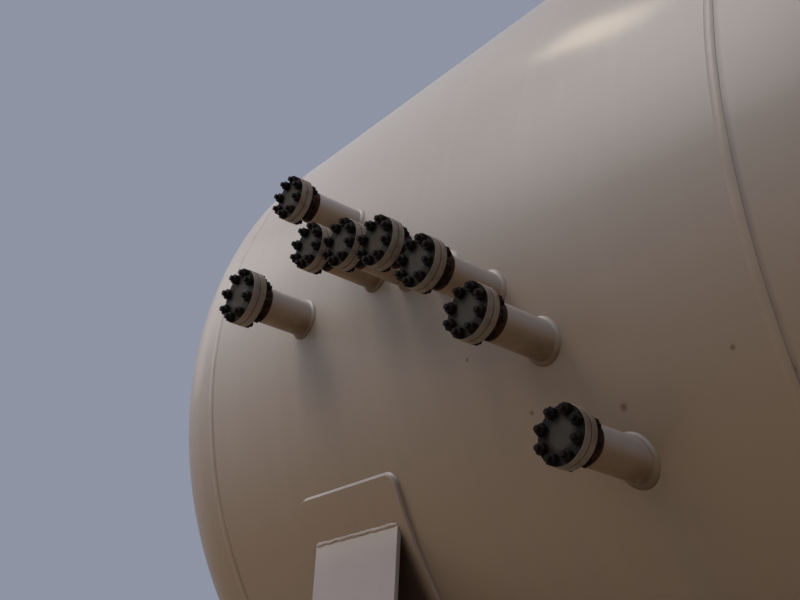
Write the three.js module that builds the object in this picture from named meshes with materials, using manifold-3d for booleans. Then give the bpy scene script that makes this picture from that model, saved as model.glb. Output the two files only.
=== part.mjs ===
// Horizontal desalter vessel: a thick walled drum of five rolled plate courses with
// 2:1 ellipsoidal heads, carried by two welded steel saddles on concrete piers, with
// a descending row of small closed nozzles on one side near the left head.
// Millimetres, +Z up, +X along the vessel. The origin lies on the ground under the
// vessel axis, at the centre of the left pier. The nozzles point along -Y.
import * as THREE from "three";
import { mergeVertices } from "three/addons/utils/BufferGeometryUtils.js";
import Module from "manifold-3d";

const wasm = await Module();
wasm.setup();

// Vessel body
const SHELL_RADIUS = 1750;
const WALL = 25;
const COURSE_LENGTH = 2440;
const COURSE_COUNT = 5;
const HEAD_DEPTH = SHELL_RADIUS / 2;
const STRAIGHT_FLANGE = 70;
const SADDLE_TO_SEAM = 808;
const AXIS_HEIGHT = 3250;

// Saddles and piers
const PIER_HEIGHT = 1170;
const PIER_LENGTH = 3460;
const PIER_WIDTH = 700;
const PIER_CHAMFER = 25;
const GROUT_HEIGHT = 30;
const GROUT_MARGIN = 45;
const BASE_LENGTH = 3260;
const BASE_WIDTH = 500;
const BASE_THICKNESS = 25;
const SADDLE_WIDTH = 450;
const SADDLE_HALF_SPAN = 1558;
const SADDLE_PLATE = 16;
const RIB_POSITIONS = [-1040, -520, 0, 520, 1040];
const WEAR_THICKNESS = 16;
const WEAR_WIDTH = 537;
const WEAR_HALF_ANGLE = 67;
const WEAR_CORNER = 45;

// Radii and thickness of each size of nozzle: behind the flange the barrel is necked down for the nuts
const SIZES = {
  small: { bore: 25, barrel: 56, neck: 46, flange: 78, thickness: 19, raised: 46 },
  large: { bore: 38, barrel: 64, neck: 58, flange: 98, thickness: 23, raised: 60 },
};
const NOZZLE_PROJECTION = 271;
const NECK_LENGTH = 30;
const RAISED_HEIGHT = 2;
const NOZZLE_ROOT = 150;
const DRILL_INWARD = 200;
const DRILL_OUTWARD = 50;

// Along is measured from the left head seam, rise from the vessel axis
const NOZZLES = [
  { name: "nozzle_1", size: "large", along: 669, rise: -59 },
  { name: "nozzle_2", size: "small", along: 918, rise: 234 },
  { name: "nozzle_3", size: "small", along: 1097, rise: -36 },
  { name: "nozzle_4", size: "small", along: 1279, rise: -98 },
  { name: "nozzle_5", size: "small", along: 1456, rise: -164 },
  { name: "nozzle_6", size: "small", along: 1628, rise: -293 },
  { name: "nozzle_7", size: "small", along: 1789, rise: -485 },
  { name: "nozzle_8", size: "small", along: 1972, rise: -828 },
];

// Round surfaces are cut into flats: one for each five degrees of the shell
const SHELL_STEP = 5;
const SHELL_SIDES = 360 / SHELL_STEP;
const NOZZLE_SIDES = 28;
const HEAD_RINGS = 7;
const CORNER_STEPS = [0, 0.1, 0.3, 0.6, 1];
const GAP = 0.3;
const MERGE_DISTANCE = 0.001;

// Colour, roughness and metalness of each finish
const SHELL_PAINT = [0xaea49c, 0.5, 0.0];
const SADDLE_PAINT = [0xc2b8b6, 0.6, 0.0];
const BLIND_STEEL = [0x3f3c38, 0.6, 0.3];
const CONCRETE = [0x8d8983, 0.9, 0.0];
const GROUT = [0x9b978f, 0.85, 0.0];

// Places that follow from the sizes above
const INNER_RADIUS = SHELL_RADIUS - WALL;
const LEFT_SEAM = -SADDLE_TO_SEAM;
const VESSEL_LENGTH = COURSE_LENGTH * COURSE_COUNT;
const RIGHT_SEAM = LEFT_SEAM + VESSEL_LENGTH;
const SADDLES = [
  { name: "left", x: 0 },
  { name: "right", x: RIGHT_SEAM - SADDLE_TO_SEAM },
];
const WEAR_INNER = SHELL_RADIUS + GAP;
const WEAR_OUTER = WEAR_INNER + WEAR_THICKNESS;
const SEAT_RADIUS = WEAR_OUTER + GAP;
const BASE_UNDERSIDE = PIER_HEIGHT + GROUT_HEIGHT + 2 * GAP;
const PLATE_FOOT = BASE_UNDERSIDE + BASE_THICKNESS + GAP;

const degrees = THREE.MathUtils.degToRad;

function material(color, roughness, metalness) {
  return new THREE.MeshStandardMaterial({ color, roughness, metalness });
}

const vessel = new THREE.Group();

function place(name, geometry, finish) {
  const mesh = new THREE.Mesh(geometry, material(...finish));
  mesh.name = name;
  vessel.add(mesh);
  return mesh;
}

// Cutting and joining
function toSolid(geometry) {
  const bare = geometry.clone();
  bare.deleteAttribute("normal");
  bare.deleteAttribute("uv");
  const merged = mergeVertices(bare, MERGE_DISTANCE);
  return new wasm.Manifold(new wasm.Mesh({
    numProp: 3,
    vertProperties: new Float32Array(merged.attributes.position.array),
    triVerts: new Uint32Array(merged.index.array),
  }));
}

function toGeometry(solid) {
  const mesh = solid.getMesh();
  const geometry = new THREE.BufferGeometry();
  geometry.setAttribute("position", new THREE.BufferAttribute(mesh.vertProperties, 3));
  geometry.setIndex(new THREE.BufferAttribute(mesh.triVerts, 1));
  geometry.computeVertexNormals();
  return geometry;
}

// A round body about the vessel axis, from (radius, x) points of a closed profile
function aboutVesselAxis(points, sides = SHELL_SIDES) {
  const profile = points.map(([radius, x]) => new THREE.Vector2(radius, x));
  const geometry = new THREE.LatheGeometry(profile, sides);
  geometry.rotateZ(-Math.PI / 2);
  geometry.translate(0, 0, AXIS_HEIGHT);
  return geometry;
}

function ringProfile(inner, outer, start, end) {
  return [[outer, start], [outer, end], [inner, end], [inner, start], [outer, start]];
}

function rod(radius, start, end) {
  return aboutVesselAxis([[0, start], [radius, start], [radius, end], [0, end]]);
}

// A closed body through rings of points, each ring with the same number of points
function loft(rings) {
  const count = rings[0].length;
  const positions = rings.flat(2);
  const index = [];
  for (let ring = 0; ring < rings.length - 1; ring += 1) {
    for (let point = 0; point < count; point += 1) {
      const here = ring * count + point;
      const next = ring * count + (point + 1) % count;
      index.push(here, next, next + count, here, next + count, here + count);
    }
  }
  const last = (rings.length - 1) * count;
  for (let point = 1; point < count - 1; point += 1) {
    index.push(0, point + 1, point);
    index.push(last, last + point, last + point + 1);
  }
  const geometry = new THREE.BufferGeometry();
  geometry.setAttribute("position", new THREE.Float32BufferAttribute(positions, 3));
  geometry.setIndex(index);
  geometry.computeVertexNormals();
  return geometry;
}

function block(x0, x1, y0, y1, z0, z1) {
  const geometry = new THREE.BoxGeometry(x1 - x0, y1 - y0, z1 - z0);
  geometry.translate((x0 + x1) / 2, (y0 + y1) / 2, (z0 + z1) / 2);
  return geometry;
}

// How far out from the vessel axis a nozzle's axis meets the shell
function outward(nozzle) {
  return Math.sqrt(SHELL_RADIUS ** 2 - nozzle.rise ** 2);
}

// A round body about a nozzle's axis, from (radius, distance out from the vessel axis) points
function aboutNozzleAxis(nozzle, points) {
  const profile = points.map(([radius, out]) => new THREE.Vector2(radius, out));
  const geometry = new THREE.LatheGeometry(profile, NOZZLE_SIDES);
  geometry.rotateX(Math.PI);
  geometry.translate(LEFT_SEAM + nozzle.along, 0, AXIS_HEIGHT + nozzle.rise);
  return geometry;
}

function nozzleHole(nozzle) {
  const radius = SIZES[nozzle.size].barrel + GAP;
  const inside = outward(nozzle) - DRILL_INWARD;
  const outside = outward(nozzle) + DRILL_OUTWARD;
  return toSolid(aboutNozzleAxis(nozzle, [[0, inside], [radius, inside], [radius, outside], [0, outside]]));
}

// Shell courses, the first one drilled for the nozzles
for (let course = 0; course < COURSE_COUNT; course += 1) {
  const start = LEFT_SEAM + course * COURSE_LENGTH + GAP / 2;
  const end = start + COURSE_LENGTH - GAP;
  let shell = toSolid(aboutVesselAxis(ringProfile(INNER_RADIUS, SHELL_RADIUS, start, end)));
  if (course === 0) {
    NOZZLES.forEach((nozzle) => { shell = shell.subtract(nozzleHole(nozzle)); });
  }
  place(`shell_course_${course + 1}`, toGeometry(shell), SHELL_PAINT);
}

// Dished ends: half an ellipsoid with a short straight flange, hollow and open to the shell
function headProfile() {
  const outer = [];
  const inner = [];
  for (let ring = 0; ring <= HEAD_RINGS; ring += 1) {
    const angle = degrees(90 * ring / HEAD_RINGS);
    outer.push([SHELL_RADIUS * Math.cos(angle), STRAIGHT_FLANGE + HEAD_DEPTH * Math.sin(angle)]);
    inner.push([INNER_RADIUS * Math.cos(angle), STRAIGHT_FLANGE + (HEAD_DEPTH - WALL) * Math.sin(angle)]);
  }
  outer[HEAD_RINGS][0] = 0;
  inner[HEAD_RINGS][0] = 0;
  return [[0, inner[HEAD_RINGS][1]], ...inner.reverse().slice(1), [INNER_RADIUS, GAP / 2],
    [SHELL_RADIUS, GAP / 2], ...outer];
}

function head(name, seam, turn) {
  const geometry = new THREE.LatheGeometry(
    headProfile().map(([radius, x]) => new THREE.Vector2(radius, x)),
    SHELL_SIDES,
  );
  geometry.rotateZ(-Math.PI / 2);
  geometry.rotateY(turn);
  geometry.translate(seam, 0, AXIS_HEIGHT);
  place(name, geometry, SHELL_PAINT);
}

head("head_left", LEFT_SEAM, Math.PI);
head("head_right", RIGHT_SEAM, 0);

// Nozzles: a thick barrel set through the shell, its flange, and the blind that closes it
NOZZLES.forEach((nozzle) => {
  const { bore, barrel, neck, flange, thickness, raised } = SIZES[nozzle.size];
  const face = outward(nozzle) + NOZZLE_PROJECTION;
  const blindBack = face - thickness;
  const joint = blindBack - RAISED_HEIGHT - GAP;
  const flangeFront = joint - RAISED_HEIGHT;
  const flangeBack = flangeFront - thickness;
  const neckFoot = flangeBack - NECK_LENGTH;
  const shoulder = neckFoot - (barrel - neck);
  const root = outward(nozzle) - NOZZLE_ROOT;
  const body = toSolid(aboutNozzleAxis(nozzle, [
    [bore, root], [barrel, root], [barrel, shoulder], [neck, neckFoot], [neck, flangeBack],
    [flange, flangeBack], [flange, flangeFront], [raised, flangeFront], [raised, joint],
    [bore, joint], [bore, root],
  ]));
  const inside = toSolid(rod(INNER_RADIUS, LEFT_SEAM, LEFT_SEAM + COURSE_LENGTH));
  place(nozzle.name, toGeometry(body.subtract(inside)), SHELL_PAINT);
  place(nozzle.name.replace("nozzle", "blind"), aboutNozzleAxis(nozzle, [
    [0, joint + GAP], [raised, joint + GAP], [raised, blindBack], [flange, blindBack],
    [flange, face], [0, face],
  ]), BLIND_STEEL);
});

// Wear plates: curved pads with rounded corners between the shell and the saddles
function wearAngles() {
  const reach = THREE.MathUtils.radToDeg(WEAR_CORNER / WEAR_INNER);
  const corner = CORNER_STEPS.map((part) => WEAR_HALF_ANGLE - part * reach);
  const steps = [];
  for (let angle = 0; angle < WEAR_HALF_ANGLE; angle += SHELL_STEP) {
    steps.push(angle);
  }
  const half = [...steps, ...corner].sort((a, b) => a - b);
  return [...half.slice(1).map((angle) => -angle).reverse(), ...half];
}

function wearHalfWidth(angle) {
  const fromEnd = degrees(WEAR_HALF_ANGLE - Math.abs(angle)) * WEAR_INNER;
  const inset = Math.max(0, WEAR_CORNER - fromEnd);
  return WEAR_WIDTH / 2 - WEAR_CORNER + Math.sqrt(WEAR_CORNER ** 2 - inset ** 2);
}

// The part of the full radius that is left at this angle, on the flat between two corners of the shell
function onFlat(angle) {
  const fromMiddle = (Math.abs(angle) % SHELL_STEP) - SHELL_STEP / 2;
  return Math.cos(degrees(SHELL_STEP / 2)) / Math.cos(degrees(fromMiddle));
}

function wearPlate(saddle) {
  const rings = wearAngles().map((angle) => {
    const half = wearHalfWidth(angle);
    const y = Math.sin(degrees(angle)) * onFlat(angle);
    const z = -Math.cos(degrees(angle)) * onFlat(angle);
    return [[WEAR_INNER, half], [WEAR_OUTER, half], [WEAR_OUTER, -half], [WEAR_INNER, -half]]
      .map(([radius, x]) => [saddle.x + x, radius * y, AXIS_HEIGHT + radius * z]);
  });
  place(`saddle_${saddle.name}_wear_plate`, loft(rings), SHELL_PAINT);
}

// Saddle steel: a web across the vessel with ribs on both sides, closed by an end plate at each side
function saddleSteel(saddle) {
  const seat = toSolid(rod(SEAT_RADIUS, saddle.x - SADDLE_WIDTH, saddle.x + SADDLE_WIDTH));
  const inset = SADDLE_HALF_SPAN - SADDLE_PLATE - GAP;
  const halfWidth = SADDLE_WIDTH / 2;
  const half = SADDLE_PLATE / 2;
  let frame = toSolid(block(saddle.x - half, saddle.x + half, -inset, inset, PLATE_FOOT, AXIS_HEIGHT));
  RIB_POSITIONS.forEach((y) => {
    const rib = toSolid(block(
      saddle.x - halfWidth, saddle.x + halfWidth, y - half, y + half, PLATE_FOOT, AXIS_HEIGHT,
    ));
    frame = frame.add(rib);
  });
  place(`saddle_${saddle.name}_web_and_ribs`, toGeometry(frame.subtract(seat)), SADDLE_PAINT);
  [["front", -1], ["back", 1]].forEach(([side, sign]) => {
    const outer = sign * SADDLE_HALF_SPAN;
    const inner = sign * (SADDLE_HALF_SPAN - SADDLE_PLATE);
    const plate = toSolid(block(
      saddle.x - halfWidth, saddle.x + halfWidth, Math.min(outer, inner), Math.max(outer, inner),
      PLATE_FOOT, AXIS_HEIGHT,
    ));
    place(`saddle_${saddle.name}_end_plate_${side}`, toGeometry(plate.subtract(seat)), SADDLE_PAINT);
  });
  const base = block(
    saddle.x - BASE_WIDTH / 2, saddle.x + BASE_WIDTH / 2, -BASE_LENGTH / 2, BASE_LENGTH / 2,
    BASE_UNDERSIDE, BASE_UNDERSIDE + BASE_THICKNESS,
  );
  place(`saddle_${saddle.name}_base_plate`, base, SADDLE_PAINT);
}

// Piers: plain concrete with a chamfered top edge, and a bed of grout under the saddle
function slab(saddle, levels) {
  return loft(levels.map(([inset, z]) => {
    const x = PIER_WIDTH / 2 - inset;
    const y = PIER_LENGTH / 2 - inset;
    return [[-x, -y], [x, -y], [x, y], [-x, y]].map(([dx, dy]) => [saddle.x + dx, dy, z]);
  }));
}

function pier(saddle) {
  place(`pier_${saddle.name}`, slab(saddle, [
    [0, 0], [0, PIER_HEIGHT - PIER_CHAMFER], [PIER_CHAMFER, PIER_HEIGHT],
  ]), CONCRETE);
  place(`grout_${saddle.name}`, slab(saddle, [
    [GROUT_MARGIN, PIER_HEIGHT + GAP], [GROUT_MARGIN + GROUT_HEIGHT, PIER_HEIGHT + GAP + GROUT_HEIGHT],
  ]), GROUT);
}

SADDLES.forEach((saddle) => {
  wearPlate(saddle);
  saddleSteel(saddle);
  pier(saddle);
});

export default vessel;
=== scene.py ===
import math
from itertools import pairwise

import bpy
from bpy.props import FloatProperty, FloatVectorProperty, IntProperty, PointerProperty
from mathutils import Matrix, Vector


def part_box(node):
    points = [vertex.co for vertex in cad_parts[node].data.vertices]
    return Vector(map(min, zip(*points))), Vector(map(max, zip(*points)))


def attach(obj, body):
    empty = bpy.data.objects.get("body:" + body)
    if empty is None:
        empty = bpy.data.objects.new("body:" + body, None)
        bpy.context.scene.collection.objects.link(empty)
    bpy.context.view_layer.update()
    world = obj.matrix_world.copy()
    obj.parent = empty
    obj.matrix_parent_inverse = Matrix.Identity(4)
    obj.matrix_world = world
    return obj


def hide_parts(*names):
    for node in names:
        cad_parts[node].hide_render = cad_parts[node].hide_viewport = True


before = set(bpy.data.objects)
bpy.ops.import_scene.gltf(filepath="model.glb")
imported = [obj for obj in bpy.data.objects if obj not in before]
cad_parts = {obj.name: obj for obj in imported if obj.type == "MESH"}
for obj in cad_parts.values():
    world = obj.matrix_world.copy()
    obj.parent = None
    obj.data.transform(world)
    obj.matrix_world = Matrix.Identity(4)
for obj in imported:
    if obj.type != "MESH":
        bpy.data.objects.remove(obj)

bl_info = {
    "name": "Desalter Vessel Dressing",
    "version": (1, 0, 0),
    "blender": (4, 5, 0),
    "location": "3D View > Sidebar > Desalter",
    "description": "Dresses a desalter vessel's frame with plate, welds, bolting and paint",
    "category": "Object",
}

# The one body of the frame, which every piece rides on
ROOT = "root"
SIDES = ("left", "right")


def middle(node):
    """The point halfway between the corners of a node's box."""
    low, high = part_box(node)
    return (low + high) / 2


def extent(node):
    """The size of a node's box along each axis."""
    low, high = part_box(node)
    return high - low


# Places read from the frame
COURSES = [name for name in sorted(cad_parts) if name.startswith("shell_course")]
NOZZLES = [name for name in sorted(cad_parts) if name.startswith("nozzle")]
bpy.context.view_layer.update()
COURSE_LENGTH = extent(COURSES[0]).x
SHELL_RADIUS = extent(COURSES[0]).z / 2
AXIS_HEIGHT = middle(COURSES[0]).z
LEFT_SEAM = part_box(COURSES[0])[0].x
RIGHT_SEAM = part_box(COURSES[-1])[1].x
SADDLE_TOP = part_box("saddle_left_end_plate_front")[1].z

# The gap that solids keep in the frame where they touch
GAP = 0.0003
# Points this near to each other, or to a cut, count as touching
TOUCHING = 0.00001


def surface(height):
    """The shell's distance out from the vessel axis, level with that height."""
    return math.sqrt(SHELL_RADIUS ** 2 - (height - AXIS_HEIGHT) ** 2)


class DesalterSizes(bpy.types.PropertyGroup):
    """Sizes of what dresses the vessel."""
    shell_sides: IntProperty(
        name="Shell Sides", description="Flats round the shell and heads", default=288)
    wall: FloatProperty(
        name="Wall", description="Plate thickness of shell and heads", default=0.025, unit="LENGTH")
    straight_flange: FloatProperty(
        name="Straight Flange", description="Straight part of each head", default=0.070, unit="LENGTH")
    seam_width: FloatProperty(
        name="Seam Width", description="Width of a girth weld's cap", default=0.030, unit="LENGTH")
    seam_height: FloatProperty(
        name="Seam Height", description="Height of a weld cap above the plate", default=0.0025,
        unit="LENGTH")
    nozzle_weld: FloatProperty(
        name="Nozzle Weld", description="Leg of the weld round a nozzle", default=0.011, unit="LENGTH")
    neck_length: FloatProperty(
        name="Neck Length", description="Room for the nuts behind a nozzle's flange", default=0.030,
        unit="LENGTH")
    # Nearly black steel behind a nozzle's flange: bare rusty steel and painted shade in the recess there
    bare_and_shaded_length: FloatProperty(
        name="Bare Length", description="Unpainted steel behind a nozzle's flange", default=0.047,
        unit="LENGTH")
    nozzle_sides: IntProperty(
        name="Nozzle Sides", description="Flats round a nozzle and its flanges", default=72)
    rim_chamfer: FloatProperty(
        name="Rim Chamfer", description="Chamfer on the flange rims", default=0.0016, unit="LENGTH")
    stud_reach: FloatProperty(
        name="Stud Reach", description="Stud showing beyond its nut", default=0.011, unit="LENGTH")
    thread_pitch: FloatProperty(
        name="Thread Pitch", description="Distance between two threads", default=0.0024, unit="LENGTH")
    saddle_weld: FloatProperty(
        name="Saddle Weld", description="Leg of the welds on the saddles", default=0.009, unit="LENGTH")
    wear_weld: FloatProperty(
        name="Wear Plate Weld", description="Leg of the weld round a wear plate", default=0.007,
        unit="LENGTH")
    wear_thickness: FloatProperty(
        name="Wear Plate", description="Thickness of a wear plate", default=0.016, unit="LENGTH")
    wear_wrap: FloatProperty(
        name="Wear Plate Wrap", description="Angle that a wear plate covers",
        default=math.radians(134), subtype="ANGLE")
    wear_corner: FloatProperty(
        name="Wear Plate Corner", description="Radius of its corners", default=0.045, unit="LENGTH")
    plate_bevel: FloatProperty(
        name="Plate Bevel", description="Rounding of cut plate edges", default=0.002, unit="LENGTH")
    anchor_radius: FloatProperty(
        name="Anchor Radius", description="Radius of an anchor bolt", default=0.018, unit="LENGTH")


class DesalterColours(bpy.types.PropertyGroup):
    """Colours of the finishes, linear."""
    shell: FloatVectorProperty(
        name="Shell Paint", description="Weathered pale paint", subtype="COLOR",
        default=(0.420, 0.370, 0.330))
    shell_dust: FloatVectorProperty(
        name="Shell Dust", description="Warm dust and rain marks", subtype="COLOR",
        default=(0.270, 0.205, 0.150))
    # Partly a real brown film, partly painted shade: it darkens what faces down, where less light falls
    film_and_shade: FloatVectorProperty(
        name="Brown Film", description="Thin brown film on what faces down", subtype="COLOR",
        default=(0.345, 0.232, 0.142))
    # Painted shade under the barrels and at their feet, with some real brown runs
    barrel_film_and_shade: FloatVectorProperty(
        name="Barrel Film", description="Darker brown film under the barrels", subtype="COLOR",
        default=(0.150, 0.083, 0.036))
    # A black brown painted shade, laid where shade falls: inside the saddles, along the right toes of the
    # girth welds and on right-facing weld sides
    painted_shade: FloatVectorProperty(
        name="Painted Shade", description="Black brown grime in sheltered corners", subtype="COLOR",
        default=(0.040, 0.024, 0.016))
    saddle: FloatVectorProperty(
        name="Saddle Paint", description="Flat grey primer", subtype="COLOR",
        default=(0.425, 0.366, 0.356))
    overspray: FloatVectorProperty(
        name="Overspray", description="Cream paint that missed the shell", subtype="COLOR",
        default=(0.500, 0.430, 0.365))
    blind: FloatVectorProperty(
        name="Blind Face", description="Dark grey green forging", subtype="COLOR",
        default=(0.054, 0.048, 0.038))
    rim: FloatVectorProperty(
        name="Flange Rim", description="Beige paint on the rims", subtype="COLOR",
        default=(0.240, 0.188, 0.140))
    stud: FloatVectorProperty(
        name="Stud Steel", description="Nearly black oiled steel", subtype="COLOR",
        default=(0.0078, 0.0055, 0.0045))
    rust: FloatVectorProperty(
        name="Rust", description="Brown rust", subtype="COLOR",
        default=(0.110, 0.042, 0.018))
    concrete: FloatVectorProperty(
        name="Concrete", description="Formed concrete", subtype="COLOR",
        default=(0.400, 0.385, 0.355))
    floor: FloatVectorProperty(
        name="Floor", description="Plain pale floor", subtype="COLOR",
        default=(0.520, 0.435, 0.325))
    sky: FloatVectorProperty(
        name="Surround", description="Soft light all round", subtype="COLOR",
        default=(0.270, 0.297, 0.370))


class DesalterView(bpy.types.PropertyGroup):
    """The camera, as the photograph was taken."""
    azimuth: FloatProperty(
        name="Azimuth", description="Turn from the Y axis towards the left", subtype="ANGLE",
        default=math.radians(52.60))
    pitch: FloatProperty(
        name="Pitch", description="Tilt above the horizon", subtype="ANGLE",
        default=math.radians(26.44))
    roll: FloatProperty(
        name="Roll", description="Turn about the line of sight", subtype="ANGLE",
        default=math.radians(2.925))
    focal: FloatProperty(
        name="Focal Length", description="For a sensor 36 mm wide", default=46.11, unit="CAMERA")
    along: FloatProperty(
        name="Along", description="Distance from the left seam", default=3.558, unit="LENGTH")
    side: FloatProperty(
        name="Aside", description="Distance from the vessel axis", default=3.524, unit="LENGTH")
    below: FloatProperty(
        name="Below", description="Distance under the vessel axis", default=1.638, unit="LENGTH")


class DesalterSettings(bpy.types.PropertyGroup):
    """All settings of the vessel's dressing."""
    sizes: PointerProperty(type=DesalterSizes)
    colours: PointerProperty(type=DesalterColours)
    view: PointerProperty(type=DesalterView)


# Modelling helpers
def deselect():
    """Leaves edit mode and clears the selection, which the frame's nodes are in at first."""
    if bpy.context.mode != "OBJECT":
        bpy.ops.object.mode_set(mode="OBJECT")
    bpy.ops.object.select_all(action="DESELECT")


def take(piece):
    """Makes a piece the one that operators act on."""
    deselect()
    piece.select_set(True)
    bpy.context.view_layer.objects.active = piece


def named(piece, name):
    """Names an object and its mesh alike."""
    piece.name = name
    piece.data.name = name
    return piece


def started(name):
    """Names the primitive just added, with its place moved into its mesh."""
    bpy.ops.object.transform_apply(location=True, rotation=True, scale=True)
    return named(bpy.context.object, name)


def pick_faces(piece, wanted):
    """Enters edit mode with only the faces selected that wanted(centre, normal) is true for."""
    take(piece)
    bpy.ops.object.mode_set(mode="EDIT")
    bpy.ops.mesh.select_mode(type="FACE")
    bpy.ops.mesh.select_all(action="DESELECT")
    bpy.ops.object.mode_set(mode="OBJECT")
    for face in piece.data.polygons:
        face.select = wanted(face.center, face.normal)
    bpy.ops.object.mode_set(mode="EDIT")


def select_whole(piece):
    """Enters edit mode with everything selected, loose edges too."""
    take(piece)
    bpy.ops.object.mode_set(mode="EDIT")
    bpy.ops.mesh.select_mode(type="VERT")
    bpy.ops.mesh.select_all(action="SELECT")


def put(piece, matrix):
    """Moves a piece's mesh, so that the object stays at the origin."""
    piece.data.transform(matrix)
    piece.data.update()


def shifted(piece, x=0.0, y=0.0, z=0.0):
    """Moves a piece's mesh along the axes."""
    put(piece, Matrix.Translation((x, y, z)))


def scaled(piece, x=1.0, y=1.0, z=1.0):
    """Scales a piece's mesh about the origin."""
    put(piece, Matrix.Diagonal((x, y, z, 1)))


def duplicate(source, name):
    """A copy of an object, with a mesh of its own."""
    copy = bpy.data.objects.new(name, source.data.copy())
    bpy.context.collection.objects.link(copy)
    return copy


def joined(name, parts):
    """One piece from several."""
    deselect()
    for part in parts:
        part.select_set(True)
    bpy.context.view_layer.objects.active = parts[0]
    bpy.ops.object.join()
    return named(parts[0], name)


def spread_out(name, pattern, places):
    """One piece from copies of a pattern, one for each matrix in places, without the pattern itself."""
    copies = []
    for place in places:
        copy = duplicate(pattern, name)
        put(copy, place)
        copies.append(copy)
    mesh = pattern.data
    bpy.data.objects.remove(pattern)
    bpy.data.meshes.remove(mesh)
    return joined(name, copies)


def modified(piece, kind, **settings):
    """Adds a modifier with these settings and applies it."""
    take(piece)
    modifier = piece.modifiers.new(kind.title(), kind)
    for key, value in settings.items():
        setattr(modifier, key, value)
    bpy.ops.object.modifier_apply(modifier=modifier.name)


def rounded(piece, width, least_turn):
    """Rounds the edges where the faces turn by more than an angle in degrees."""
    modified(piece, "BEVEL", width=width, segments=2, limit_method="ANGLE",
             angle_limit=math.radians(least_turn))


def uneven(piece, size, amount):
    """Displaces a mesh along its normals by a cloud pattern, so that welds aren't machined."""
    clouds = bpy.data.textures.new(piece.name + "_clouds", "CLOUDS")
    clouds.noise_scale = size
    modified(piece, "DISPLACE", texture=clouds, strength=amount, mid_level=0.5, texture_coords="LOCAL")
    bpy.data.textures.remove(clouds)


def sliced(piece, start, end, count):
    """Cuts a piece across into a number of equal lengths between two points."""
    start, along = Vector(start), Vector(end) - Vector(start)
    select_whole(piece)
    for cut in range(1, count):
        bpy.ops.mesh.select_all(action="SELECT")
        bpy.ops.mesh.bisect(
            plane_co=start + along * cut / count, plane_no=along.normalized(), threshold=TOUCHING)
    bpy.ops.object.mode_set(mode="OBJECT")


def extrude_along(steps):
    """Extrudes what is selected, a ring or disc about Z, from each (radius, height) to the next."""
    for (radius, height), (next_radius, next_height) in pairwise(steps):
        bpy.ops.mesh.extrude_region_move(
            TRANSFORM_OT_translate={"value": (0, 0, next_height - height)})
        grow = next_radius / radius
        bpy.ops.transform.resize(value=(grow, grow, 1), center_override=(0, 0, next_height))


def turned(name, profile, sides):
    """A round solid about Z from steps of (radius, height): a short cone, extruded step by step."""
    (first_radius, first_height), (radius, height) = profile[:2]
    deselect()
    bpy.ops.mesh.primitive_cone_add(
        vertices=sides, radius1=first_radius, radius2=radius, depth=height - first_height,
        location=(0, 0, (first_height + height) / 2))
    piece = started(name)
    pick_faces(piece, lambda centre, normal: normal.z > 0.99)
    extrude_along(profile[1:])
    bpy.ops.object.mode_set(mode="OBJECT")
    return piece


def ring(name, section, sides):
    """A closed hoop about Z from the (radius, height) corners of its section, going round outwards."""
    radius, height = section[0]
    deselect()
    bpy.ops.mesh.primitive_circle_add(vertices=sides, radius=radius, location=(0, 0, height))
    hoop = started(name)
    select_whole(hoop)
    extrude_along([*section, section[0]])
    bpy.ops.mesh.select_all(action="SELECT")
    bpy.ops.mesh.remove_doubles(threshold=TOUCHING)
    bpy.ops.mesh.normals_make_consistent(inside=False)
    bpy.ops.object.mode_set(mode="OBJECT")
    return hoop


def merged_copy(node, name, bevel):
    """A copy of a CAD node with its loose triangles merged, its flats cleaned and its edges rounded."""
    piece = duplicate(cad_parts[node], name)
    piece.data.materials.clear()
    select_whole(piece)
    bpy.ops.mesh.remove_doubles(threshold=5 * TOUCHING)
    bpy.ops.mesh.dissolve_limited(angle_limit=math.radians(0.5))
    bpy.ops.object.mode_set(mode="OBJECT")
    rounded(piece, bevel, 40)
    return piece


def measured(piece, attribute, value_at):
    """Writes value_at(place) for every point of a mesh into an attribute that its paint reads."""
    layer = piece.data.attributes.new(attribute, "FLOAT", "POINT")
    for vertex in piece.data.vertices:
        layer.data[vertex.index].value = value_at(vertex.co)


def painted(piece, *finishes):
    """Gives a piece its finishes, in the order of its faces' material numbers."""
    for finish in finishes:
        piece.data.materials.append(FINISHES[finish])


def finished(piece, slot, *finishes, node=None, sharp=35):
    """Paints and shades a piece, hangs it on the body, and hides the node that it stands for, if any.
    An edge stays sharp where its faces turn by more than that many degrees."""
    painted(piece, *finishes)
    take(piece)
    bpy.ops.object.shade_smooth_by_angle(angle=math.radians(sharp))
    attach(piece, ROOT)
    if node:
        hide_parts(node)


# Materials
class Wire:
    """A socket's value, for sums written as expressions: each one adds its Math node."""

    def __init__(self, paint, socket):
        self.paint = paint
        self.socket = socket

    def __add__(self, other):
        return self.paint.maths("ADD", self, other)

    def __radd__(self, other):
        return self.paint.maths("ADD", other, self)

    def __sub__(self, other):
        return self.paint.maths("SUBTRACT", self, other)

    def __rsub__(self, other):
        return self.paint.maths("SUBTRACT", other, self)

    def __mul__(self, other):
        return self.paint.maths("MULTIPLY", self, other)

    def __rmul__(self, other):
        return self.paint.maths("MULTIPLY", other, self)

    def __pow__(self, other):
        return self.paint.maths("POWER", self, other)


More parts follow.
